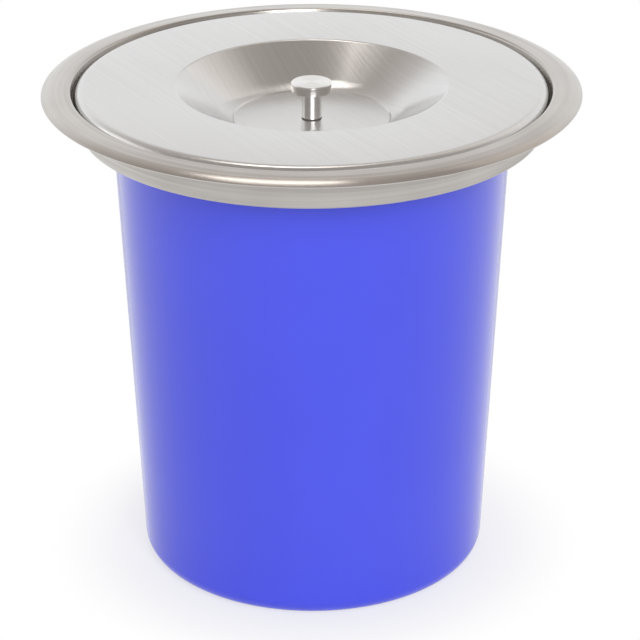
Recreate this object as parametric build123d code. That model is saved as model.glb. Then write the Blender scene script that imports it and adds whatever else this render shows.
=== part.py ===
from build123d import *
import math
import os

# Built-in countertop waste bin. Millimetres, +Z up, origin at the centre of the
# bucket's underside. Every round piece is turned about Z from a section of
# (radius, height) points, and the lid's flat top is the plane z = LID_TOP.

# Driving sizes
LID_TOP = 288.0          # lid's flat top and the trim ring's crest
SHEET = 0.8              # gauge of the pressed stainless sheet

# Trim ring: flange that lies on the worktop, tapered wall, ledge and neck
FLANGE_R = 152.0         # outer edge of the rounded lip
FLANGE_SLOPE = 4.5       # degrees that the flange falls towards its lip
LIP_SLOPE = 35.0         # degrees that the lip falls at its edge
LIP_DROP = 3.1           # lip's edge below the lid's top
LIP_BEND = 13.0
CREST_R = 135.7          # inner edge of the flange, where it turns down
CREST_BEND = 1.6
LEDGE_DEPTH = 23.4       # ledge's upper face below the lid's top
LEDGE_R = 129.8          # foot of the tapered wall, on the ledge's upper face
LEDGE_BEND = 2.0
NECK_R = 113.0           # neck that grips the bucket's collar
NECK_BEND = 1.8
NECK_DEPTH = 29.0        # neck's lower edge below the lid's top

# Worktop seal, under the flange
SEAL_IN_R = 139.5
SEAL_OUT_R = 145.4
SEAL_DROP = 4.1          # its flat underside below the lid's top

# Bucket
WALL = 2.2
MOUTH_R = 111.9          # outer radius at MOUTH_Z
MOUTH_Z = 250.0
FOOT_R = 100.1           # outer radius where the tapered wall would meet the floor
CORNER_R = 10.5          # rounded lower corner
BASE = 3.0               # thickness of the bottom over its foot
RECESS_R = 60.0          # shallow recess in the underside
RECESS = 0.8
COLLAR_R = 112.7         # straight collar inside the ring's neck
COLLAR_Z = 258.0
RIM_R = 128.0            # rim that hangs on the ring's ledge
RIM = 2.5
RIM_EDGE = 0.8

# Bail handle
BAIL_WIRE = 2.0          # wire radius
BAIL_R = 108.4           # centreline of its half circle
BAIL_BEND = 4.0          # bend from the half circle to the pivot end
BAIL_TIP = 118.6         # end of the pivot, from the bin's axis
PIVOT_RISE = 5.3         # pivot above the bucket's rim
PIVOT_PLAY = 0.1
EAR_IN = 113.0
EAR_OUT = 116.0
EAR_HALF = 7.0           # half width of an ear, and its top radius
GRIP_R = 5.0
GRIP_ARC = 46.0          # degrees of the half circle that the grip covers
GRIP_PLAY = 0.05

# Lid
LID_R = 136.1            # where the skirt would meet the flat top
LID_EDGE = 7.0           # rounded edge, 132.7 at its widest
SKIRT_R = 127.6          # foot of the turned-down skirt
SKIRT_DEPTH = 18.8
DISH_R = 77.0            # where the dish's cone would meet the flat top
DISH_BEND = 6.0
FLOOR_R = 44.0           # foot of the cone
FLOOR_BEND = 1.2
FLOOR_DEPTH = 20.5
SCREW_HOLE = 2.7

# Lid seal, a channel pushed over the skirt's edge
CHANNEL_LIP = 0.9        # thickness of its two sides
CHANNEL_TOP = 16.6       # top of its sides below the lid's top
CHANNEL_WIDTH = 3.2      # width of the foot that stands on the bucket's rim

# Knob and what holds it
HEAD_R = 11.5
HEAD = 5.7
HEAD_CHAMFER = 0.5
KNOB_TOP = 0.8           # above the lid's top
STEM_R = 5.65
WASHER = 0.6             # fibre washer under the stem
THREAD_R = 2.5           # M5
THREAD_DEPTH = 13.0
THREAD_PLAY = 0.05
FLAT_WASHER_R = 6.0
FLAT_WASHER = 1.0
SCREW_HEAD_R = 4.6
SCREW_HEAD = 3.0
SCREW_REACH = 11.0       # of the shank above the sheet
DRIVE_WIDTH = 1.2
DRIVE_LENGTH = 5.4
DRIVE_DEPTH = 1.7

# Worked out
RIM_TOP = LID_TOP - LEDGE_DEPTH + RIM
PIVOT_Z = RIM_TOP + PIVOT_RISE
FLOOR_TOP = LID_TOP - FLOOR_DEPTH
FLOOR_UNDER = FLOOR_TOP - SHEET


def turned(section):
    """A full turn of a section drawn in (radius, height) about Z."""
    return revolve(Plane.XZ * section, Axis.Z, 360)


def outline(corners):
    """A closed section from (radius, height, corner radius) triples."""
    points = [(r, z) for r, z, _ in corners]
    return make_face(FilletPolyline(*points, radius=[c[2] for c in corners], close=True))


def sheet_section(path):
    """Section of pressed sheet. path is its face side, and the gauge lies to the left of it."""
    runs = [Vector(b[0] - a[0], b[1] - a[1]).normalized() for a, b in zip(path, path[1:])]
    lefts = [Vector(-run.Y, run.X) for run in runs]
    back = []
    for i, (r, z, bend) in enumerate(path):
        before = lefts[max(i - 1, 0)]
        after = lefts[min(i, len(lefts) - 1)]
        mitre = (before + after) * (SHEET / (1 + before.dot(after)))
        turn = before.X * after.Y - before.Y * after.X
        back_bend = bend - math.copysign(SHEET, turn) if bend else 0
        back.append((r + mitre.X, z + mitre.Y, back_bend))
    return outline(list(path) + back[::-1])


def flange_drop(radius):
    """How far the flange's upper face lies below the lid's top at a radius."""
    return (radius - CREST_R) * math.tan(math.radians(FLANGE_SLOPE))


def lip_corner():
    """Radius where the flange's slope and the lip's slope meet."""
    slope = math.tan(math.radians(FLANGE_SLOPE))
    fall = math.tan(math.radians(LIP_SLOPE))
    return (FLANGE_R * fall - LIP_DROP - CREST_R * slope) / (fall - slope)


def trim_ring():
    """Pressed ring: rounded lip, sloping flange, tapered wall, ledge and neck."""
    corner = lip_corner()
    path = [
        (FLANGE_R, LID_TOP - LIP_DROP, 0),
        (corner, LID_TOP - flange_drop(corner), LIP_BEND),
        (CREST_R, LID_TOP, CREST_BEND),
        (LEDGE_R, LID_TOP - LEDGE_DEPTH, LEDGE_BEND),
        (NECK_R, LID_TOP - LEDGE_DEPTH, NECK_BEND),
        (NECK_R, LID_TOP - NECK_DEPTH, 0),
    ]
    return turned(sheet_section(path))


def worktop_seal():
    """Flat-bottomed gasket that follows the flange's slope on its upper face."""
    through = SHEET / math.cos(math.radians(FLANGE_SLOPE))
    corners = [
        (SEAL_IN_R, LID_TOP - SEAL_DROP, 0.4),
        (SEAL_OUT_R, LID_TOP - SEAL_DROP, 0.4),
        (SEAL_OUT_R, LID_TOP - flange_drop(SEAL_OUT_R) - through, 0),
        (SEAL_IN_R, LID_TOP - flange_drop(SEAL_IN_R) - through, 0),
    ]
    return turned(outline(corners))


def lid_section():
    path = [
        (SKIRT_R, LID_TOP - SKIRT_DEPTH, 0),
        (LID_R, LID_TOP, LID_EDGE),
        (DISH_R, LID_TOP, DISH_BEND),
        (FLOOR_R, FLOOR_TOP, FLOOR_BEND),
        (SCREW_HOLE, FLOOR_TOP, 0),
    ]
    return sheet_section(path)


def lid_shell():
    """Pressed lid: turned-down skirt, rounded edge, flat top, dished centre."""
    return turned(lid_section())


def lid_seal():
    """Rubber channel on the skirt's edge, with a flat foot on the bucket's rim."""
    slope = (LID_R - SKIRT_R) / SKIRT_DEPTH
    top_face = SKIRT_R + slope * (SKIRT_DEPTH - CHANNEL_TOP)
    top_out = top_face + CHANNEL_LIP
    top_in = top_face - SHEET - CHANNEL_LIP
    foot_out = SKIRT_R + 0.2
    foot_z = RIM_TOP
    knee_z = foot_z + 1.3
    corners = [
        (foot_out - CHANNEL_WIDTH, foot_z, 0.3),
        (foot_out, foot_z, 0.3),
        (SKIRT_R + CHANNEL_LIP, knee_z, 0.5),
        (top_out, LID_TOP - CHANNEL_TOP, 0.3),
        (top_in, LID_TOP - CHANNEL_TOP, 0.3),
        (SKIRT_R - SHEET - CHANNEL_LIP, knee_z, 0.5),
    ]
    return turned(outline(corners) - lid_section())


def knob():
    """Turned knob: chamfered head on a plain stem, tapped from below."""
    top = LID_TOP + KNOB_TOP
    neck = top - HEAD
    foot = FLOOR_TOP + WASHER
    corners = [
        (THREAD_R, foot, 0),
        (STEM_R, foot, 0),
        (STEM_R, neck, 0),
        (HEAD_R - HEAD_CHAMFER, neck, 0),
        (HEAD_R, neck + HEAD_CHAMFER, 0),
        (HEAD_R, top - HEAD_CHAMFER, 0),
        (HEAD_R - HEAD_CHAMFER, top, 0),
        (0, top, 0),
        (0, foot + THREAD_DEPTH, 0),
        (THREAD_R, foot + THREAD_DEPTH, 0),
    ]
    return turned(outline(corners))


def ring_plate(inner, outer, low, high):
    """A flat washer between two heights."""
    return turned(outline([(inner, low, 0), (outer, low, 0), (outer, high, 0), (inner, high, 0)]))


def knob_washer():
    return ring_plate(SCREW_HOLE, STEM_R, FLOOR_TOP, FLOOR_TOP + WASHER)


def screw_washer():
    return ring_plate(SCREW_HOLE, FLAT_WASHER_R, FLOOR_UNDER - FLAT_WASHER, FLOOR_UNDER)


def knob_screw():
    """Pan-head screw from below, with a cross drive."""
    shank_r = THREAD_R - THREAD_PLAY
    seat = FLOOR_UNDER - FLAT_WASHER
    low = seat - SCREW_HEAD
    high = FLOOR_UNDER + SCREW_REACH
    corners = [
        (0, low, 0),
        (SCREW_HEAD_R, low, 1.6),
        (SCREW_HEAD_R, seat, 0),
        (shank_r, seat, 0),
        (shank_r, high, 0.4),
        (0, high, 0),
    ]
    screw = turned(outline(corners))
    slot = Pos(0, 0, low) * Box(DRIVE_LENGTH, DRIVE_WIDTH, 2 * DRIVE_DEPTH)
    return screw - slot - slot.rotate(Axis.Z, 90)


def bucket_wall(z):
    """The bucket's outer radius at a height of its tapered wall."""
    return FOOT_R + (MOUTH_R - FOOT_R) * z / MOUTH_Z


def bucket_ear():
    """Upright ear on the +X side of the rim, with its pivot hole."""
    foot = RIM_TOP - RIM / 2
    web = Rectangle(2 * EAR_HALF, PIVOT_Z - foot, align=(Align.CENTER, Align.MIN))
    shape = Pos(0, foot) * web + Pos(0, PIVOT_Z) * Circle(EAR_HALF)
    hole = Pos(0, PIVOT_Z) * Circle(BAIL_WIRE + PIVOT_PLAY)
    ear = extrude(Plane.YZ * (shape - hole), EAR_OUT - EAR_IN)
    below = Box(60, 60, 60, align=(Align.CENTER, Align.CENTER, Align.MAX))
    return Pos(EAR_IN, 0, 0) * ear - Pos(EAR_IN, 0, foot) * below


def bucket():
    """Moulded bucket: tapered wall, collar, hanging rim and two ears."""
    rim_under = RIM_TOP - RIM
    inner_foot = bucket_wall(BASE) - WALL
    inner_mouth = COLLAR_R - WALL
    corners = [
        (0, RECESS, 0),
        (RECESS_R, RECESS, 0),
        (RECESS_R + 2, 0, 0),
        (FOOT_R, 0, CORNER_R),
        (bucket_wall(COLLAR_Z), COLLAR_Z, 0),
        (COLLAR_R, COLLAR_Z + 1, 0),
        (COLLAR_R, rim_under, 0),
        (RIM_R, rim_under, RIM_EDGE),
        (RIM_R, RIM_TOP, RIM_EDGE),
        (inner_mouth, RIM_TOP, 1.0),
        (bucket_wall(COLLAR_Z) - WALL, COLLAR_Z - 2, 0),
        (inner_foot, BASE, CORNER_R - WALL),
        (0, BASE, 0),
    ]
    shell = turned(outline(corners))
    ear = bucket_ear()
    return shell + ear + ear.rotate(Axis.Z, 180)


def bail():
    """Bent wire: half circle towards -Y, its two ends turned out into the ears."""
    straight = BAIL_R + BAIL_BEND
    ends = []
    for side in (1, -1):
        pin = Line((side * BAIL_TIP, 0), (side * straight, 0))
        bend = CenterArc((side * straight, -BAIL_BEND), BAIL_BEND, 90, side * 90)
        ends += [pin, bend]
    bow = CenterArc((0, -BAIL_BEND), BAIL_R, 180, 180)
    path = Pos(0, 0, PIVOT_Z) * Wire(Curve() + ends + [bow])
    tip = Plane(origin=(BAIL_TIP, 0, PIVOT_Z), z_dir=(-1, 0, 0))
    return sweep(tip * Circle(BAIL_WIRE), path=path)


def bail_grip():
    """Plastic sleeve on the middle of the bail."""
    section = Circle(GRIP_R) - Circle(BAIL_WIRE + GRIP_PLAY)
    sleeve = revolve(Plane.XZ * Pos(BAIL_R, 0) * section, Axis.Z, GRIP_ARC)
    return Pos(0, -BAIL_BEND, PIVOT_Z) * sleeve.rotate(Axis.Z, -90 - GRIP_ARC / 2)


PIECES = {
    "trim_ring": trim_ring,
    "worktop_seal": worktop_seal,
    "lid_shell": lid_shell,
    "lid_seal": lid_seal,
    "knob": knob,
    "knob_washer": knob_washer,
    "screw_washer": screw_washer,
    "knob_screw": knob_screw,
    "bucket": bucket,
    "bail": bail,
    "bail_grip": bail_grip,
}

os.makedirs("parts", exist_ok=True)
for name, make in PIECES.items():
    export_step(make(), f"parts/{name}.step")
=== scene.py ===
import math

import bmesh
import bpy
from mathutils import Matrix, Vector


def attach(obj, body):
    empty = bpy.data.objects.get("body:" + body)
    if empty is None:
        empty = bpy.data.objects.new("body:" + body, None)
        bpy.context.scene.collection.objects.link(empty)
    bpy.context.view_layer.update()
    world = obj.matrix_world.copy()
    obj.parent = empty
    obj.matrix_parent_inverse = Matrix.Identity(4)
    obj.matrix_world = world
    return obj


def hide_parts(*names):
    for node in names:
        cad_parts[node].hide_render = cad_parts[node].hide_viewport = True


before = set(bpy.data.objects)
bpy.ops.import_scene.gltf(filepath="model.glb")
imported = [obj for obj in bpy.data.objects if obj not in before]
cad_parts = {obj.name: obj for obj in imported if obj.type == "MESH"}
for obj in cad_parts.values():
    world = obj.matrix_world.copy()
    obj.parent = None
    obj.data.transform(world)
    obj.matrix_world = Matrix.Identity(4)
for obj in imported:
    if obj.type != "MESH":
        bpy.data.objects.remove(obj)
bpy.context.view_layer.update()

# Sizes are in metres, in the part's own frame: +Z up, origin under the bucket's centre.
MM = 0.001
LID_TOP = 288.0 * MM
SHEET = 0.8 * MM
TURN_STEPS = 288                  # facets of a full turn
BEND_STEPS = 10                   # facets of a rounded corner
SHARP_ANGLE = math.radians(32)    # steeper edges are shaded sharp
SEAM_GAP = 1e-6                   # points closer than this are joined at a seam
WIRE_SEAM_GAP = 1e-7

# Trim ring
FLANGE_R = 152.0 * MM
FLANGE_FALL = math.tan(math.radians(4.5))
LIP_FALL = math.tan(math.radians(35.0))
LIP_DROP = 3.1 * MM
LIP_BEND = 13.0 * MM
CREST_R = 135.7 * MM
CREST_BEND = 1.6 * MM
LEDGE_DEPTH = 23.4 * MM
LEDGE_R = 129.8 * MM
LEDGE_BEND = 2.0 * MM
NECK_R = 113.0 * MM
NECK_BEND = 1.8 * MM
NECK_DEPTH = 29.0 * MM

# Worktop seal
SEAL_IN_R = 139.5 * MM
SEAL_OUT_R = 145.4 * MM
SEAL_DROP = 4.1 * MM
SEAL_EDGE = 0.4 * MM

# Bucket
WALL = 2.2 * MM
FOOT_R = 100.1 * MM
WALL_FALL = (111.9 - 100.1) / 250.0    # radius gained for each metre of height
CORNER_R = 10.5 * MM
BASE = 3.0 * MM
RECESS_R = 60.0 * MM
RECESS = 0.8 * MM
RECESS_SLOPE = 2.0 * MM
RECESS_BEND = 0.5 * MM
COLLAR_R = 112.7 * MM
COLLAR_Z = 258.0 * MM
COLLAR_RUN_OUT = 1.0 * MM         # height of the collar's step, outside
COLLAR_RUN_IN = 2.0 * MM          # and how far below it the inside starts to widen
RIM_R = 128.0 * MM
RIM = 2.5 * MM
RIM_EDGE = 0.8 * MM
MOUTH_EDGE = 1.0 * MM
RIM_TOP = LID_TOP - LEDGE_DEPTH + RIM

# Bail, its ears and its grip
WIRE_R = 2.0 * MM
WIRE_SIDES = 32
PIVOT_PLAY = 0.1 * MM
BAIL_R = 108.4 * MM
BAIL_STEPS = 120
BAIL_BEND = 4.0 * MM
BAIL_BEND_STEPS = 12
BAIL_TIP = 118.6 * MM
TIP_CHAMFER = 0.5 * MM
TIP_CHAMFER_STEPS = 3
PIVOT_Z = RIM_TOP + 5.3 * MM
EAR_IN = 113.0 * MM
EAR_OUT = 116.0 * MM
EAR_HALF = 7.0 * MM
EAR_STEPS = 24
GRIP_R = 5.0 * MM
GRIP_SIDES = 40
GRIP_ARC = math.radians(46.0)
GRIP_STEPS = 92
GRIP_BANDS = 7
GRIP_WAIST = 0.09                 # share of the radius that the waists take off
GRIP_END = 0.02                   # share of the length that each end narrows over
GRIP_END_WAIST = 0.12

# Lid
LID_R = 136.1 * MM                # where the skirt would meet the flat top
LID_EDGE = 5.5 * MM
SKIRT_R = 127.6 * MM
SKIRT_DEPTH = 18.8 * MM
DISH_R = 77.0 * MM
DISH_BEND = 3.0 * MM
FLOOR_TOP = LID_TOP - 20.5 * MM
FLOOR_R = 44.0 * MM
STEP_R = 45.0 * MM                # a small step round the dish's floor
STEP_RISE = 0.75 * MM
STEP_BEND = 0.3 * MM
DISH_FOOT_R = 50.0 * MM           # where the dish's steep wall turns into its hollow foot
DISH_FOOT_RISE = 2.25 * MM
DISH_FOOT_BEND = 27.0 * MM
SCREW_HOLE = 2.7 * MM
BRUSHED_HEADING = math.radians(-60.0)    # the lid's brushed lines, from +X

# Rubber channel on the lid's skirt
CHANNEL_LIP = 0.9 * MM
CHANNEL_TOP = 16.6 * MM
CHANNEL_WIDTH = 3.2 * MM
CHANNEL_FOOT = 1.3 * MM
CHANNEL_FOOT_OUT = 0.2 * MM
CHANNEL_EDGE = 0.3 * MM
CHANNEL_KNEE = 0.5 * MM

# Knob and the washers
HEAD_R = 11.5 * MM
HEAD = 5.7 * MM
HEAD_CHAMFER = 0.5 * MM
HEAD_SIDE_EDGE = 0.2 * MM
HEAD_FACE_EDGE = 0.1 * MM
KNOB_TOP = LID_TOP + 0.8 * MM
STEM_R = 5.65 * MM
STEM_FOOT_EDGE = 0.15 * MM
STEM_HEAD_BEND = 0.25 * MM
WASHER = 0.6 * MM
WASHER_EDGE = 0.1 * MM
FLAT_WASHER_R = 6.0 * MM
FLAT_WASHER = 1.0 * MM

# Camera, from the photograph's ellipses; the picture is 640 pixels square
PICTURE = 640
SENSOR = 36.0
CAMERA_BACK = 1489.1 * MM
CAMERA_UP = 814.3 * MM
CAMERA_PITCH = math.radians(24.309)
CAMERA_ROLL = math.radians(-0.2235)
CAMERA_FOCAL_PX = 2797.3
CAMERA_CENTRE_PX = 312.48
CAMERA_NEAR = 0.05

# Studio: near the bin the floor mixes in less white, a painted shadow disc round the foot over its
# rendered shadow; further out it is plain white
GROUND_R = 8.0
GROUND_SIDES = 96
GROUND_COLOR = (0.9, 0.9, 0.9)
GROUND_ROUGH = 0.6
GROUND_SPECULAR = 0.2
PAINTED_SHADOW_WHITE = 0.69
WHITE_FAR = 1.0
PAINTED_SHADOW_IN_R = 0.10
PAINTED_SHADOW_OUT_R = 0.165

# Tones of the paper behind and of the room in front, by the sine of the height angle
PAPER_TONES = [
    (0.0, (1.0, 1.0, 1.0)), (0.34, (1.0, 1.0, 1.0)), (0.42, (0.96, 0.95, 0.94)),
    (0.50, (0.85, 0.83, 0.81)), (0.57, (0.72, 0.69, 0.67)), (0.64, (0.62, 0.58, 0.55)),
    (0.80, (0.52, 0.48, 0.44)), (1.0, (0.42, 0.38, 0.345)),
]
ROOM_TONES = [
    (0.0, (0.62, 0.61, 0.60)), (0.35, (0.50, 0.48, 0.46)), (0.60, (0.42, 0.39, 0.37)),
    (1.0, (0.40, 0.365, 0.335)),
]
PAPER_ENDS_Y = 0.70               # the paper fades into the room between these directions
ROOM_STARTS_Y = -0.10

# Each lamp's place, its width and height, how bright its own face looks, and its colour
SOFTBOXES = {
    "top_softbox": ((-0.19, 0.83, 2.2), (0.68, 0.60), 2.3, (1.0, 0.94, 0.89)),
    "right_softbox": ((1.10, 1.20, 1.75), (1.20, 1.0), 0.28, (1.0, 0.92, 0.86)),
    "left_softbox": ((-1.9, 0.5, 1.25), (1.3, 1.0), 0.55, (1.0, 1.0, 1.0)),
    "front_softbox": ((0.35, -1.9, 1.7), (0.9, 1.1), 9.3, (1.0, 1.0, 1.0)),
}

# Surfaces
NOISE_MIDDLE = (0.3, 0.7)         # the part of a noise that is spread over a whole range
LINE_DETAIL = 3.0
TONE_DETAIL = 2.0
RIPPLE_DETAIL = 2.0
HAZE_DETAIL = 4.0
QUARTER_TURN = 0.25               # of the tangent, so that highlights run across turned lines
STEEL_BUMP = 0.05
STEEL_RELIEF = 0.02 * MM
PLASTIC_RELIEF = 0.1 * MM
DRAWN_ROUGH = 0.28                # how much rougher the ring's wall is than its flange
DRAWN_FROM_Z = LID_TOP - 4.0 * MM    # the extra roughness starts below this height
DRAWN_FULL_Z = LID_TOP - 5.0 * MM    # and is whole from this one down


# Modelling

def link_object(name, data):
    made = bpy.data.objects.new(name, data)
    bpy.context.scene.collection.objects.link(made)
    return made


def new_piece(bm, name, body, material, replaced=()):
    """Turns a finished bmesh into a smooth-shaded piece on its body."""
    mesh = bpy.data.meshes.new(name)
    bm.to_mesh(mesh)
    bm.free()
    piece = link_object(name, mesh)
    mesh.materials.append(material)
    mesh.shade_smooth()
    mesh.set_sharp_from_angle(angle=SHARP_ANGLE)
    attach(piece, body)
    if replaced:
        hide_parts(*replaced)
    return piece


def profile(corners, closed):
    """An outline of (radius, height, bend) corners in the XZ plane, its corners rounded."""
    bm = bmesh.new()
    points = [bm.verts.new((r, 0, z)) for r, z, _ in corners]
    ahead = points[1:] + points[:1] if closed else points[1:]
    for a, b in zip(points, ahead):
        bm.edges.new((a, b))
    count = len(corners)
    for i, (r, z, bend) in enumerate(corners):
        if not bend:
            continue
        here = Vector((r, z))
        before = here - Vector(corners[i - 1][:2])
        after = Vector(corners[(i + 1) % count][:2]) - here
        reach = bend * math.tan(before.angle(after) / 2)
        bmesh.ops.bevel(bm, geom=[points[i]], offset=reach, offset_type="OFFSET",
                        segments=BEND_STEPS, profile=0.5, affect="VERTICES",
                        material=-1, clamp_overlap=False)
    return bm


def turn(bm):
    """Spins an outline once about Z and closes its seam and poles."""
    bmesh.ops.spin(bm, geom=bm.verts[:] + bm.edges[:], cent=(0, 0, 0), axis=(0, 0, 1),
                   angle=2 * math.pi, steps=TURN_STEPS, use_merge=True, use_duplicate=False)
    bmesh.ops.remove_doubles(bm, verts=bm.verts[:], dist=SEAM_GAP)
    bmesh.ops.recalc_face_normals(bm, faces=bm.faces[:])
    return bm


def pressed(path):
    """Sheet metal turned from the path of its face side, which looks up or inwards."""
    bm = turn(profile(path, closed=False))
    highest = max(bm.faces, key=lambda face: face.calc_center_median().z)
    if highest.normal.z < 0:
        bmesh.ops.reverse_faces(bm, faces=bm.faces[:])
    bmesh.ops.solidify(bm, geom=bm.faces[:], thickness=SHEET)
    bmesh.ops.recalc_face_normals(bm, faces=bm.faces[:])
    return bm


def solid_turn(corners):
    return turn(profile(corners, closed=True))


def brushed_map(bm):
    """A map on the plan whose U runs across the lid's brushed lines."""
    layer = bm.loops.layers.uv.new("brushed")
    turn_back = Matrix.Rotation(-BRUSHED_HEADING - math.pi / 2, 2)
    for face in bm.faces:
        for loop in face.loops:
            loop[layer].uv = turn_back @ loop.vert.co.xy


def edges_of(verts):
    return list({edge for vert in verts for edge in vert.link_edges})


def verts_of(edges):
    return list({vert for edge in edges for vert in edge.verts})


def only(kind, geom):
    return [g for g in geom if isinstance(g, kind)]


def flange_drop(radius):
    return (radius - CREST_R) * FLANGE_FALL


def lip_corner():
    """Radius where the flange's slope and the lip's slope meet."""
    return (FLANGE_R * LIP_FALL - LIP_DROP - CREST_R * FLANGE_FALL) / (LIP_FALL - FLANGE_FALL)


def bucket_wall(z):
    """Radius of the bucket's outside at a height."""
    return FOOT_R + WALL_FALL * z


def trim_ring(material):
    corner = lip_corner()
    path = [
        (FLANGE_R, LID_TOP - LIP_DROP, 0),
        (corner, LID_TOP - flange_drop(corner), LIP_BEND),
        (CREST_R, LID_TOP, CREST_BEND),
        (LEDGE_R, LID_TOP - LEDGE_DEPTH, LEDGE_BEND),
        (NECK_R, LID_TOP - LEDGE_DEPTH, NECK_BEND),
        (NECK_R, LID_TOP - NECK_DEPTH, 0),
    ]
    return new_piece(pressed(path), "pressed_ring", "ring", material, ["trim_ring"])


def worktop_seal(material):
    """Flat gasket that fills the wedge under the flange."""
    through = SHEET / math.cos(math.atan(FLANGE_FALL))
    low = LID_TOP - SEAL_DROP
    bm = solid_turn([
        (SEAL_IN_R, low, SEAL_EDGE),
        (SEAL_OUT_R, low, SEAL_EDGE),
        (SEAL_OUT_R, LID_TOP - flange_drop(SEAL_OUT_R) - through, 0),
        (SEAL_IN_R, LID_TOP - flange_drop(SEAL_IN_R) - through, 0),
    ])
    return new_piece(bm, "flange_gasket", "ring", material, ["worktop_seal"])


def lid_shell(material):
    path = [
        (SKIRT_R, LID_TOP - SKIRT_DEPTH, 0),
        (LID_R, LID_TOP, LID_EDGE),
        (DISH_R, LID_TOP, DISH_BEND),
        (DISH_FOOT_R, FLOOR_TOP + DISH_FOOT_RISE, DISH_FOOT_BEND),
        (STEP_R, FLOOR_TOP + STEP_RISE, STEP_BEND),
        (FLOOR_R, FLOOR_TOP, STEP_BEND),
        (SCREW_HOLE, FLOOR_TOP, 0),
    ]
    bm = pressed(path)
    brushed_map(bm)
    return new_piece(bm, "pressed_lid", "lid", material, ["lid_shell"])


def lid_seal(material):
    """Channel that grips both faces of the skirt; its foot stands on the bucket's rim."""
    slope = (LID_R - SKIRT_R) / SKIRT_DEPTH
    top_z = LID_TOP - CHANNEL_TOP
    top_face = SKIRT_R + slope * (SKIRT_DEPTH - CHANNEL_TOP)
    knee_z = RIM_TOP + CHANNEL_FOOT
    foot_out = SKIRT_R + CHANNEL_FOOT_OUT
    skirt_z = LID_TOP - SKIRT_DEPTH
    bm = solid_turn([
        (foot_out - CHANNEL_WIDTH, RIM_TOP, CHANNEL_EDGE),
        (foot_out, RIM_TOP, CHANNEL_EDGE),
        (SKIRT_R + CHANNEL_LIP, knee_z, CHANNEL_KNEE),
        (top_face + CHANNEL_LIP, top_z, CHANNEL_EDGE),
        (top_face, top_z, 0),
        (SKIRT_R, skirt_z, 0),
        (SKIRT_R - SHEET, skirt_z, 0),
        (top_face - SHEET, top_z, 0),
        (top_face - SHEET - CHANNEL_LIP, top_z, CHANNEL_EDGE),
        (SKIRT_R - SHEET - CHANNEL_LIP, knee_z, CHANNEL_KNEE),
    ])
    return new_piece(bm, "skirt_channel", "lid", material, ["lid_seal"])


def knob(material):
    neck = KNOB_TOP - HEAD
    foot = FLOOR_TOP + WASHER
    bm = solid_turn([
        (0, foot, 0),
        (STEM_R, foot, STEM_FOOT_EDGE),
        (STEM_R, neck, STEM_HEAD_BEND),
        (HEAD_R - HEAD_CHAMFER, neck, HEAD_FACE_EDGE),
        (HEAD_R, neck + HEAD_CHAMFER, HEAD_SIDE_EDGE),
        (HEAD_R, KNOB_TOP - HEAD_CHAMFER, HEAD_SIDE_EDGE),
        (HEAD_R - HEAD_CHAMFER, KNOB_TOP, HEAD_FACE_EDGE),
        (0, KNOB_TOP, 0),
    ])
    return new_piece(bm, "turned_knob", "lid", material, ["knob"])


def flat_washer(name, material, node, outer, low, high):
    bm = solid_turn([
        (SCREW_HOLE, low, 0),
        (outer, low, WASHER_EDGE),
        (outer, high, WASHER_EDGE),
        (SCREW_HOLE, high, 0),
    ])
    return new_piece(bm, name, "lid", material, [node])


def bucket(material):
    rim_under = RIM_TOP - RIM
    bm = solid_turn([
        (0, RECESS, 0),
        (RECESS_R, RECESS, RECESS_BEND),
        (RECESS_R + RECESS_SLOPE, 0, RECESS_BEND),
        (FOOT_R, 0, CORNER_R),
        (bucket_wall(COLLAR_Z), COLLAR_Z, 0),
        (COLLAR_R, COLLAR_Z + COLLAR_RUN_OUT, 0),
        (COLLAR_R, rim_under, 0),
        (RIM_R, rim_under, RIM_EDGE),
        (RIM_R, RIM_TOP, RIM_EDGE),
        (COLLAR_R - WALL, RIM_TOP, MOUTH_EDGE),
        (bucket_wall(COLLAR_Z) - WALL, COLLAR_Z - COLLAR_RUN_IN, 0),
        (bucket_wall(BASE) - WALL, BASE, CORNER_R - WALL),
        (0, BASE, 0),
    ])
    for side in (1, -1):
        add_ear(bm, side)
    return new_piece(bm, "moulded_bucket", "bucket", material, ["bucket"])


def add_ear(bm, side):
    """An upright ear with a round top and a pivot hole, on one side of the rim."""
    before = set(bm.verts)
    foot = RIM_TOP - RIM / 2
    outline = [Vector((0, EAR_HALF, foot))]
    outline += [Vector((0, EAR_HALF * math.cos(a), PIVOT_Z + EAR_HALF * math.sin(a)))
                for a in (math.pi * i / EAR_STEPS for i in range(EAR_STEPS + 1))]
    outline += [Vector((0, -EAR_HALF, foot))]
    border = [bm.verts.new(p) for p in outline]
    edges = [bm.edges.new((a, b)) for a, b in zip(border, border[1:] + border[:1])]
    hole = bmesh.ops.create_circle(bm, cap_ends=False, segments=EAR_STEPS,
                                   radius=WIRE_R + PIVOT_PLAY)["verts"]
    bmesh.ops.rotate(bm, verts=hole, matrix=Matrix.Rotation(math.pi / 2, 3, "Y"))
    bmesh.ops.translate(bm, verts=hole, vec=(0, 0, PIVOT_Z))
    edges += edges_of(hole)
    filled = bmesh.ops.triangle_fill(bm, use_beauty=True, edges=edges)["geom"]
    raised = bmesh.ops.extrude_face_region(bm, geom=only(bmesh.types.BMFace, filled),
                                           use_keep_orig=True)["geom"]
    bmesh.ops.translate(bm, verts=only(bmesh.types.BMVert, raised), vec=(EAR_OUT - EAR_IN, 0, 0))
    ear = [v for v in bm.verts if v not in before]
    bmesh.ops.translate(bm, verts=ear, vec=(EAR_IN, 0, 0))
    if side < 0:
        bmesh.ops.rotate(bm, verts=ear, matrix=Matrix.Rotation(math.pi, 3, "Z"))
    ear_faces = list({face for vert in ear for face in vert.link_faces})
    bmesh.ops.recalc_face_normals(bm, faces=ear_faces)


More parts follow.
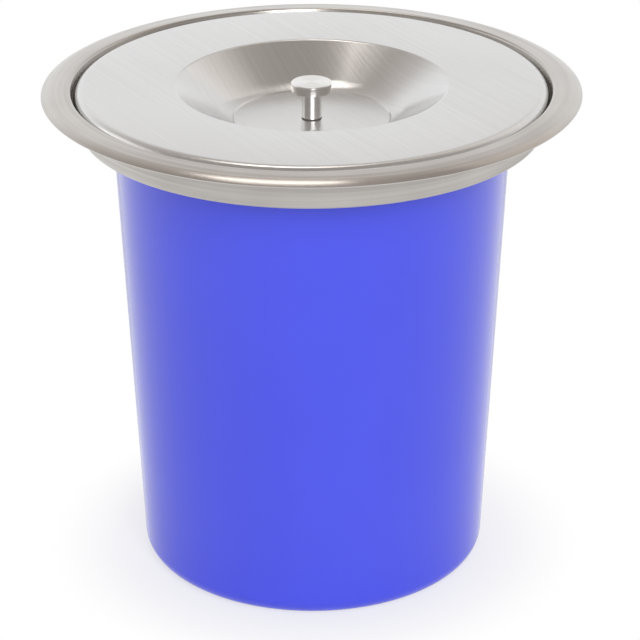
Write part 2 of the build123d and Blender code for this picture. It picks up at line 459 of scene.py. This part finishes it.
def section_ring(bm, radius, sides):
    """A round section square to Y, where the bail's half circle starts on +X."""
    verts = bmesh.ops.create_circle(bm, cap_ends=False, segments=sides, radius=radius)["verts"]
    bmesh.ops.rotate(bm, verts=verts, matrix=Matrix.Rotation(math.pi / 2, 3, "X"))
    bmesh.ops.translate(bm, verts=verts, vec=(BAIL_R, -BAIL_BEND, PIVOT_Z))
    return edges_of(verts)


def sweep(bm, edges, centre, angle, steps):
    """Spins a section about an upright axis and gives the edges of its last place."""
    last = bmesh.ops.spin(bm, geom=edges + verts_of(edges), cent=centre, axis=(0, 0, 1),
                          angle=angle, steps=steps, use_duplicate=False)["geom_last"]
    return only(bmesh.types.BMEdge, last)


def bail(material):
    """Half circle of wire, then on each side a tight bend out to a straight pivot end."""
    bm = bmesh.new()
    start = section_ring(bm, WIRE_R, WIRE_SIDES)
    swept = sweep(bm, start, (0, -BAIL_BEND, PIVOT_Z), -math.pi, BAIL_STEPS)
    for side, edges in ((1, start), (-1, swept)):
        centre = (side * (BAIL_R + BAIL_BEND), -BAIL_BEND, PIVOT_Z)
        bent = sweep(bm, edges, centre, -side * math.pi / 2, BAIL_BEND_STEPS)
        out = bmesh.ops.extrude_edge_only(bm, edges=bent)["geom"]
        tip = only(bmesh.types.BMVert, out)
        length = BAIL_TIP - BAIL_R - BAIL_BEND
        bmesh.ops.translate(bm, verts=tip, vec=(side * length, 0, 0))
        end = [e for e in only(bmesh.types.BMEdge, out) if e.verts[0] in tip and e.verts[1] in tip]
        cap = bmesh.ops.contextual_create(bm, geom=end)["faces"]
        bmesh.ops.bevel(bm, geom=list(cap[0].edges), offset=TIP_CHAMFER, offset_type="OFFSET",
                        segments=TIP_CHAMFER_STEPS, profile=0.5, affect="EDGES", material=-1)
    bmesh.ops.remove_doubles(bm, verts=bm.verts[:], dist=WIRE_SEAM_GAP)
    bmesh.ops.recalc_face_normals(bm, faces=bm.faces[:])
    return new_piece(bm, "bent_bail", "bail", material, ["bail"])


def grip_waist(share):
    """Thickness of the grip as a share of its radius, at a share of its length."""
    end = min(share, 1 - share)
    if end <= GRIP_END:
        return 1 - GRIP_END_WAIST * (1 - end / GRIP_END)
    wave = 0.5 - 0.5 * math.cos(2 * math.pi * GRIP_BANDS * share)
    return 1 - GRIP_WAIST * wave


def bail_grip(material):
    """Sleeve on the middle of the bail, waisted between raised bands."""
    bm = bmesh.new()
    centre = Vector((0, -BAIL_BEND, PIVOT_Z))
    section = section_ring(bm, GRIP_R, GRIP_SIDES)
    bmesh.ops.rotate(bm, verts=verts_of(section), cent=centre,
                     matrix=Matrix.Rotation(-math.pi / 2 - GRIP_ARC / 2, 3, "Z"))
    sweep(bm, section, centre, GRIP_ARC, GRIP_STEPS)
    for vert in bm.verts:
        across = vert.co - centre
        angle = math.atan2(across.x, -across.y)
        middle = centre + BAIL_R * Vector((math.sin(angle), -math.cos(angle), 0))
        vert.co = middle + (vert.co - middle) * grip_waist(angle / GRIP_ARC + 0.5)
    bmesh.ops.holes_fill(bm, edges=[e for e in bm.edges if e.is_boundary], sides=0)
    bmesh.ops.recalc_face_normals(bm, faces=bm.faces[:])
    return new_piece(bm, "moulded_grip", "bail", material, ["bail_grip"])


# Shader building

def add_node(tree, kind, given=None, **settings):
    """A shader node with its settings; given maps its inputs to sockets or plain values."""
    node = tree.nodes.new("ShaderNode" + kind)
    for label, value in settings.items():
        setattr(node, label, value)
    for label, value in (given or {}).items():
        feed(tree, node.inputs[label], value)
    return node


def feed(tree, socket, value):
    if isinstance(value, bpy.types.NodeSocket):
        tree.links.new(value, socket)
    else:
        socket.default_value = value


def value_node(tree, operation, a, b):
    return add_node(tree, "Math", {0: a, 1: b}, operation=operation).outputs[0]


def half_and_half(tree, a, b):
    return value_node(tree, "MULTIPLY", value_node(tree, "ADD", a, b), 0.5)


def object_place(tree):
    return add_node(tree, "TexCoord").outputs["Object"]


def effect_group(name, inputs, outputs):
    """An empty node group with number sockets; gives the tree and its two end nodes."""
    tree = bpy.data.node_groups.new(name, "ShaderNodeTree")
    for label, default in inputs.items():
        socket = tree.interface.new_socket(label, in_out="INPUT", socket_type="NodeSocketFloat")
        socket.default_value = default
    for label in outputs:
        tree.interface.new_socket(label, in_out="OUTPUT", socket_type="NodeSocketFloat")
    return tree, tree.nodes.new("NodeGroupInput"), tree.nodes.new("NodeGroupOutput")


def noise(tree, vector, scale, detail):
    given = {"Scale": scale, "Detail": detail, "Vector": vector}
    return add_node(tree, "TexNoise", given).outputs["Fac"]


def grain_outputs(tree, out, stretched, place, streak_scale, cloud_scale):
    """Fine lines, and a tone that mixes broad streaks along them with soft clouds."""
    streaks = noise(tree, stretched, streak_scale, TONE_DETAIL)
    clouds = noise(tree, place, cloud_scale, TONE_DETAIL)
    feed(tree, out.inputs["Lines"], noise(tree, stretched, 1.0, LINE_DETAIL))
    feed(tree, out.inputs["Tone"], half_and_half(tree, streaks, clouds))


def turned_grain():
    """Lines that run round Z, as on metal brushed or turned on a spindle."""
    tree, given, out = effect_group("turned_grain", {"Across": 1800.0, "Along": 5.0},
                                    ["Lines", "Tone"])
    place = object_place(tree)
    split = add_node(tree, "SeparateXYZ", {0: place}).outputs
    flat = add_node(tree, "CombineXYZ", {"X": split["X"], "Y": split["Y"]}).outputs[0]
    radius = add_node(tree, "VectorMath", {0: flat}, operation="LENGTH").outputs["Value"]
    unit = add_node(tree, "VectorMath", {0: flat}, operation="NORMALIZE").outputs[0]
    around = add_node(tree, "VectorMath", {0: unit, "Scale": given.outputs["Along"]},
                      operation="SCALE").outputs[0]
    run = value_node(tree, "ADD", radius, split["Z"])
    across = value_node(tree, "MULTIPLY", run, given.outputs["Across"])
    lift = add_node(tree, "CombineXYZ", {"Z": across}).outputs[0]
    total = add_node(tree, "VectorMath", {0: around, 1: lift}, operation="ADD").outputs[0]
    grain_outputs(tree, out, total, place, streak_scale=0.22, cloud_scale=14.0)
    return tree


def sheet_grain():
    """Straight lines across the lid's plan, as on sheet brushed before it is pressed."""
    tree, given, out = effect_group("sheet_grain",
                                    {"Across": 1500.0, "Along": 12.0, "Heading": 0.0},
                                    ["Lines", "Tone"])
    place = object_place(tree)
    turned = add_node(tree, "VectorRotate", rotation_type="Z_AXIS",
                      given={"Vector": place, "Angle": given.outputs["Heading"]}).outputs[0]
    split = add_node(tree, "SeparateXYZ", {0: turned}).outputs
    along = value_node(tree, "MULTIPLY", split["X"], given.outputs["Along"])
    across = value_node(tree, "MULTIPLY", split["Y"], given.outputs["Across"])
    lines = add_node(tree, "CombineXYZ", {"X": along, "Y": across}).outputs[0]
    grain_outputs(tree, out, lines, place, streak_scale=0.6, cloud_scale=11.0)
    return tree


def drawn_wall():
    """Extra roughness of the ring's wall, where the sheet has been stretched."""
    tree, _, out = effect_group("drawn_wall", {}, ["Extra"])
    height = add_node(tree, "SeparateXYZ", {0: object_place(tree)}).outputs["Z"]
    given = {"Value": height, "From Min": DRAWN_FULL_Z, "From Max": DRAWN_FROM_Z,
             "To Min": DRAWN_ROUGH, "To Max": 0.0}
    feed(tree, out.inputs["Extra"], add_node(tree, "MapRange", given).outputs["Result"])
    return tree


def moulded_skin():
    """Faint unevenness of a glossy moulding, and the finer haze of handling."""
    tree, given, out = effect_group("moulded_skin", {"Ripple": 28.0, "Haze": 9.0},
                                    ["Height", "Cloud"])
    place = object_place(tree)
    feed(tree, out.inputs["Height"], noise(tree, place, given.outputs["Ripple"], RIPPLE_DETAIL))
    feed(tree, out.inputs["Cloud"], noise(tree, place, given.outputs["Haze"], HAZE_DETAIL))
    return tree


def plain_material(name, color, roughness, metallic):
    material = bpy.data.materials.new(name)
    material.use_nodes = True
    shader = material.node_tree.nodes["Principled BSDF"]
    shader.inputs["Base Color"].default_value = (*color, 1)
    shader.inputs["Roughness"].default_value = roughness
    shader.inputs["Metallic"].default_value = metallic
    return material, material.node_tree, shader


def place_group(tree, group, **values):
    return add_node(tree, "Group", values, node_tree=group).outputs


def spread(tree, source, low, high):
    """Maps the middle of a noise to a range of values."""
    given = {"From Min": NOISE_MIDDLE[0], "From Max": NOISE_MIDDLE[1],
             "To Min": low, "To Max": high, "Value": source}
    return add_node(tree, "MapRange", given).outputs["Result"]


def two_tone(tree, shader, source, dark, light):
    given = {"A": (*dark, 1), "B": (*light, 1), "Factor": spread(tree, source, 0.0, 1.0)}
    mix = add_node(tree, "Mix", given, data_type="RGBA")
    feed(tree, shader.inputs["Base Color"], mix.outputs["Result"])


def bump(tree, shader, height, strength, distance):
    given = {"Strength": strength, "Distance": distance, "Height": height}
    feed(tree, shader.inputs["Normal"], add_node(tree, "Bump", given).outputs["Normal"])


def steel(name, grain, dark, light, rough, anisotropy, strength=STEEL_BUMP, across_map="",
          rougher=None, **values):
    """Satin stainless steel: a grain that shifts its tone, its gloss and its surface.

    Its highlights stretch across the lines: the lines run round Z, or a map's U runs
    across them.
    """
    material, tree, shader = plain_material(name, light, rough[0], metallic=1.0)
    lines = place_group(tree, grain, **values)
    two_tone(tree, shader, lines["Tone"], dark, light)
    gloss = spread(tree, lines["Lines"], *rough)
    if rougher:
        gloss = value_node(tree, "ADD", gloss, place_group(tree, rougher)["Extra"])
    feed(tree, shader.inputs["Roughness"], gloss)
    bump(tree, shader, lines["Lines"], strength, STEEL_RELIEF)
    shader.inputs["Anisotropic"].default_value = anisotropy
    if across_map:
        tangent = add_node(tree, "Tangent", direction_type="UV_MAP", uv_map=across_map)
    else:
        tangent = add_node(tree, "Tangent", direction_type="RADIAL", axis="Z")
        shader.inputs["Anisotropic Rotation"].default_value = QUARTER_TURN
    feed(tree, shader.inputs["Tangent"], tangent.outputs[0])
    return material


def moulded(name, skin, dark, light, rough, strength, **values):
    """Plastic or rubber: a skin that shifts its tone, its gloss and its surface."""
    material, tree, shader = plain_material(name, light, rough[0], metallic=0.0)
    parts = place_group(tree, skin, **values)
    two_tone(tree, shader, parts["Cloud"], dark, light)
    feed(tree, shader.inputs["Roughness"], spread(tree, parts["Cloud"], *rough))
    bump(tree, shader, parts["Height"], strength, PLASTIC_RELIEF)
    return material


# Studio

def studio_floor():
    """Pale floor: plain white to the camera and in gloss; near the bin less white is mixed in, a
    painted shadow disc round the foot over the floor's rendered shadow.
    """
    bm = bmesh.new()
    bmesh.ops.create_circle(bm, cap_ends=True, segments=GROUND_SIDES, radius=GROUND_R)
    mesh = bpy.data.meshes.new("floor")
    bm.to_mesh(mesh)
    bm.free()
    floor = link_object("floor", mesh)
    material, tree, shader = plain_material("pale_floor", GROUND_COLOR, GROUND_ROUGH, metallic=0.0)
    shader.inputs["Specular IOR Level"].default_value = GROUND_SPECULAR
    white = add_node(tree, "Emission", {"Strength": 1.0})
    ray = add_node(tree, "LightPath").outputs
    seen = value_node(tree, "MAXIMUM", ray["Is Camera Ray"], ray["Is Glossy Ray"])
    seen = value_node(tree, "MAXIMUM", seen, ray["Is Transmission Ray"])
    # painted shadow: the white share is lower near the bin's axis, so the floor there is darker by
    # its place as well as by its rendered shadow
    reach = add_node(tree, "VectorMath", {0: object_place(tree)}, operation="LENGTH")
    given = {"From Min": PAINTED_SHADOW_IN_R, "From Max": PAINTED_SHADOW_OUT_R, "To Min": PAINTED_SHADOW_WHITE,
             "To Max": WHITE_FAR, "Value": reach.outputs["Value"]}
    painted_shadow_white = add_node(tree, "MapRange", given, interpolation_type="SMOOTHSTEP")
    share = value_node(tree, "MULTIPLY", seen, painted_shadow_white.outputs["Result"])
    mix = add_node(tree, "MixShader", {"Fac": share, 1: shader.outputs[0], 2: white.outputs[0]})
    feed(tree, tree.nodes["Material Output"].inputs["Surface"], mix.outputs[0])
    mesh.materials.append(material)


def tone_ramp(tree, source, stops):
    """Colours at places from 0 to 1, read at the source; a new ramp already has two stops."""
    node = add_node(tree, "ValToRGB", {"Fac": source})
    ramp = node.color_ramp
    for i, (place, tone) in enumerate(stops):
        stop = ramp.elements[i] if i < 2 else ramp.elements.new(place)
        stop.position = place
        stop.color = (*tone, 1)
    return node.outputs["Color"]


def studio_world():
    """White paper behind and low down, a dim warm room overhead and in front."""
    world = bpy.data.worlds.new("studio")
    bpy.context.scene.world = world
    world.use_nodes = True
    tree = world.node_tree
    way = add_node(tree, "TexCoord").outputs["Generated"]
    split = add_node(tree, "SeparateXYZ", {0: way}).outputs
    given = {"From Min": PAPER_ENDS_Y, "From Max": ROOM_STARTS_Y, "Value": split["Y"]}
    front = add_node(tree, "MapRange", given, interpolation_type="SMOOTHSTEP")
    blend = add_node(tree, "Mix", data_type="RGBA",
                     given={"Factor": front.outputs["Result"],
                            "A": tone_ramp(tree, split["Z"], PAPER_TONES),
                            "B": tone_ramp(tree, split["Z"], ROOM_TONES)})
    around = tree.nodes["Background"]
    feed(tree, around.inputs["Color"], blend.outputs["Result"])
    white = add_node(tree, "Background", {"Color": (1, 1, 1, 1)})
    ray = add_node(tree, "LightPath").outputs
    mix = add_node(tree, "MixShader",
                   {"Fac": ray["Is Camera Ray"], 1: around.outputs[0], 2: white.outputs[0]})
    feed(tree, tree.nodes["World Output"].inputs["Surface"], mix.outputs[0])


def softbox(name, place, size, tone, color):
    """A rectangular lamp that looks at the lid; its tone is how bright its own face looks."""
    data = bpy.data.lights.new(name, "AREA")
    data.shape = "RECTANGLE"
    data.size, data.size_y = size
    data.energy = tone * math.pi * size[0] * size[1]
    data.color = color
    lamp = link_object(name, data)
    lamp.location = place
    aim = Vector((0, 0, LID_TOP)) - Vector(place)
    lamp.rotation_euler = aim.to_track_quat("-Z", "Y").to_euler()


def camera():
    data = bpy.data.cameras.new("camera")
    data.sensor_width = SENSOR
    data.lens = CAMERA_FOCAL_PX / PICTURE * SENSOR
    data.shift_x = (PICTURE / 2 - CAMERA_CENTRE_PX) / PICTURE
    data.clip_start = CAMERA_NEAR
    eye = link_object("camera", data)
    eye.location = (0, -CAMERA_BACK, CAMERA_UP)
    tilt = Matrix.Rotation(math.pi / 2 - CAMERA_PITCH, 3, "X")
    roll = Matrix.Rotation(CAMERA_ROLL, 3, "Z")
    eye.rotation_euler = (tilt @ roll).to_euler()
    bpy.context.scene.camera = eye


# The scene

camera()
studio_world()
studio_floor()
for lamp_name, lamp_values in SOFTBOXES.items():
    softbox(lamp_name, *lamp_values)

turned_lines = turned_grain()
sheet_lines = sheet_grain()
skin = moulded_skin()

# Each steel: dark and light tone, range of roughness
ring_steel = steel("ring_steel", turned_lines, (0.46, 0.435, 0.41), (0.66, 0.64, 0.615),
                   (0.19, 0.27), anisotropy=0.6, strength=0.30, rougher=drawn_wall(),
                   Across=1300.0, Along=2.5)
lid_steel = steel("lid_steel", sheet_lines, (0.668, 0.668, 0.668), (0.722, 0.722, 0.722),
                  (0.18, 0.25), anisotropy=0.8, strength=0.38, across_map="brushed",
                  Heading=-BRUSHED_HEADING, Across=900.0, Along=7.0)
knob_steel = steel("knob_steel", turned_lines, (0.80, 0.785, 0.77), (0.86, 0.85, 0.84),
                   (0.19, 0.23), anisotropy=0.85, strength=0.015, Across=5000.0, Along=2.0)
wire_steel = steel("wire_steel", turned_lines, (0.66, 0.66, 0.65), (0.72, 0.72, 0.71),
                   (0.16, 0.24), anisotropy=0.3, Across=900.0, Along=40.0)
fastener_steel = steel("fastener_steel", turned_lines, (0.55, 0.55, 0.55), (0.62, 0.62, 0.62),
                       (0.25, 0.35), anisotropy=0.3, Across=3000.0)

# Each moulding: dark and light tone, range of roughness, strength of its unevenness
blue_plastic = moulded("blue_plastic", skin, (0.056, 0.078, 0.87), (0.062, 0.086, 0.91),
                       (0.10, 0.14), 0.05)
grip_plastic = moulded("grip_plastic", skin, (0.030, 0.052, 0.66), (0.034, 0.058, 0.72),
                       (0.28, 0.36), 0.1, Ripple=300.0)
seal_rubber = moulded("seal_rubber", skin, (0.012, 0.012, 0.012), (0.022, 0.022, 0.022),
                      (0.6, 0.75), 0.2, Ripple=900.0, Haze=60.0)
washer_fibre = moulded("washer_fibre", skin, (0.11, 0.10, 0.09), (0.14, 0.127, 0.115),
                       (0.7, 0.85), 0.3, Ripple=1800.0, Haze=400.0)

trim_ring(ring_steel)
worktop_seal(seal_rubber)
lid_shell(lid_steel)
lid_seal(seal_rubber)
knob(knob_steel)
flat_washer("stem_washer", washer_fibre, "knob_washer", STEM_R,
            FLOOR_TOP, FLOOR_TOP + WASHER)
flat_washer("plain_washer", fastener_steel, "screw_washer", FLAT_WASHER_R,
            FLOOR_TOP - SHEET - FLAT_WASHER, FLOOR_TOP - SHEET)
bucket(blue_plastic)
bail(wire_steel)
bail_grip(grip_plastic)

# The screw keeps the CAD model's own mesh
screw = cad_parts["knob_screw"]
screw.data.materials.clear()
screw.data.materials.append(fastener_steel)

bpy.context.scene.view_settings.view_transform = "Standard"
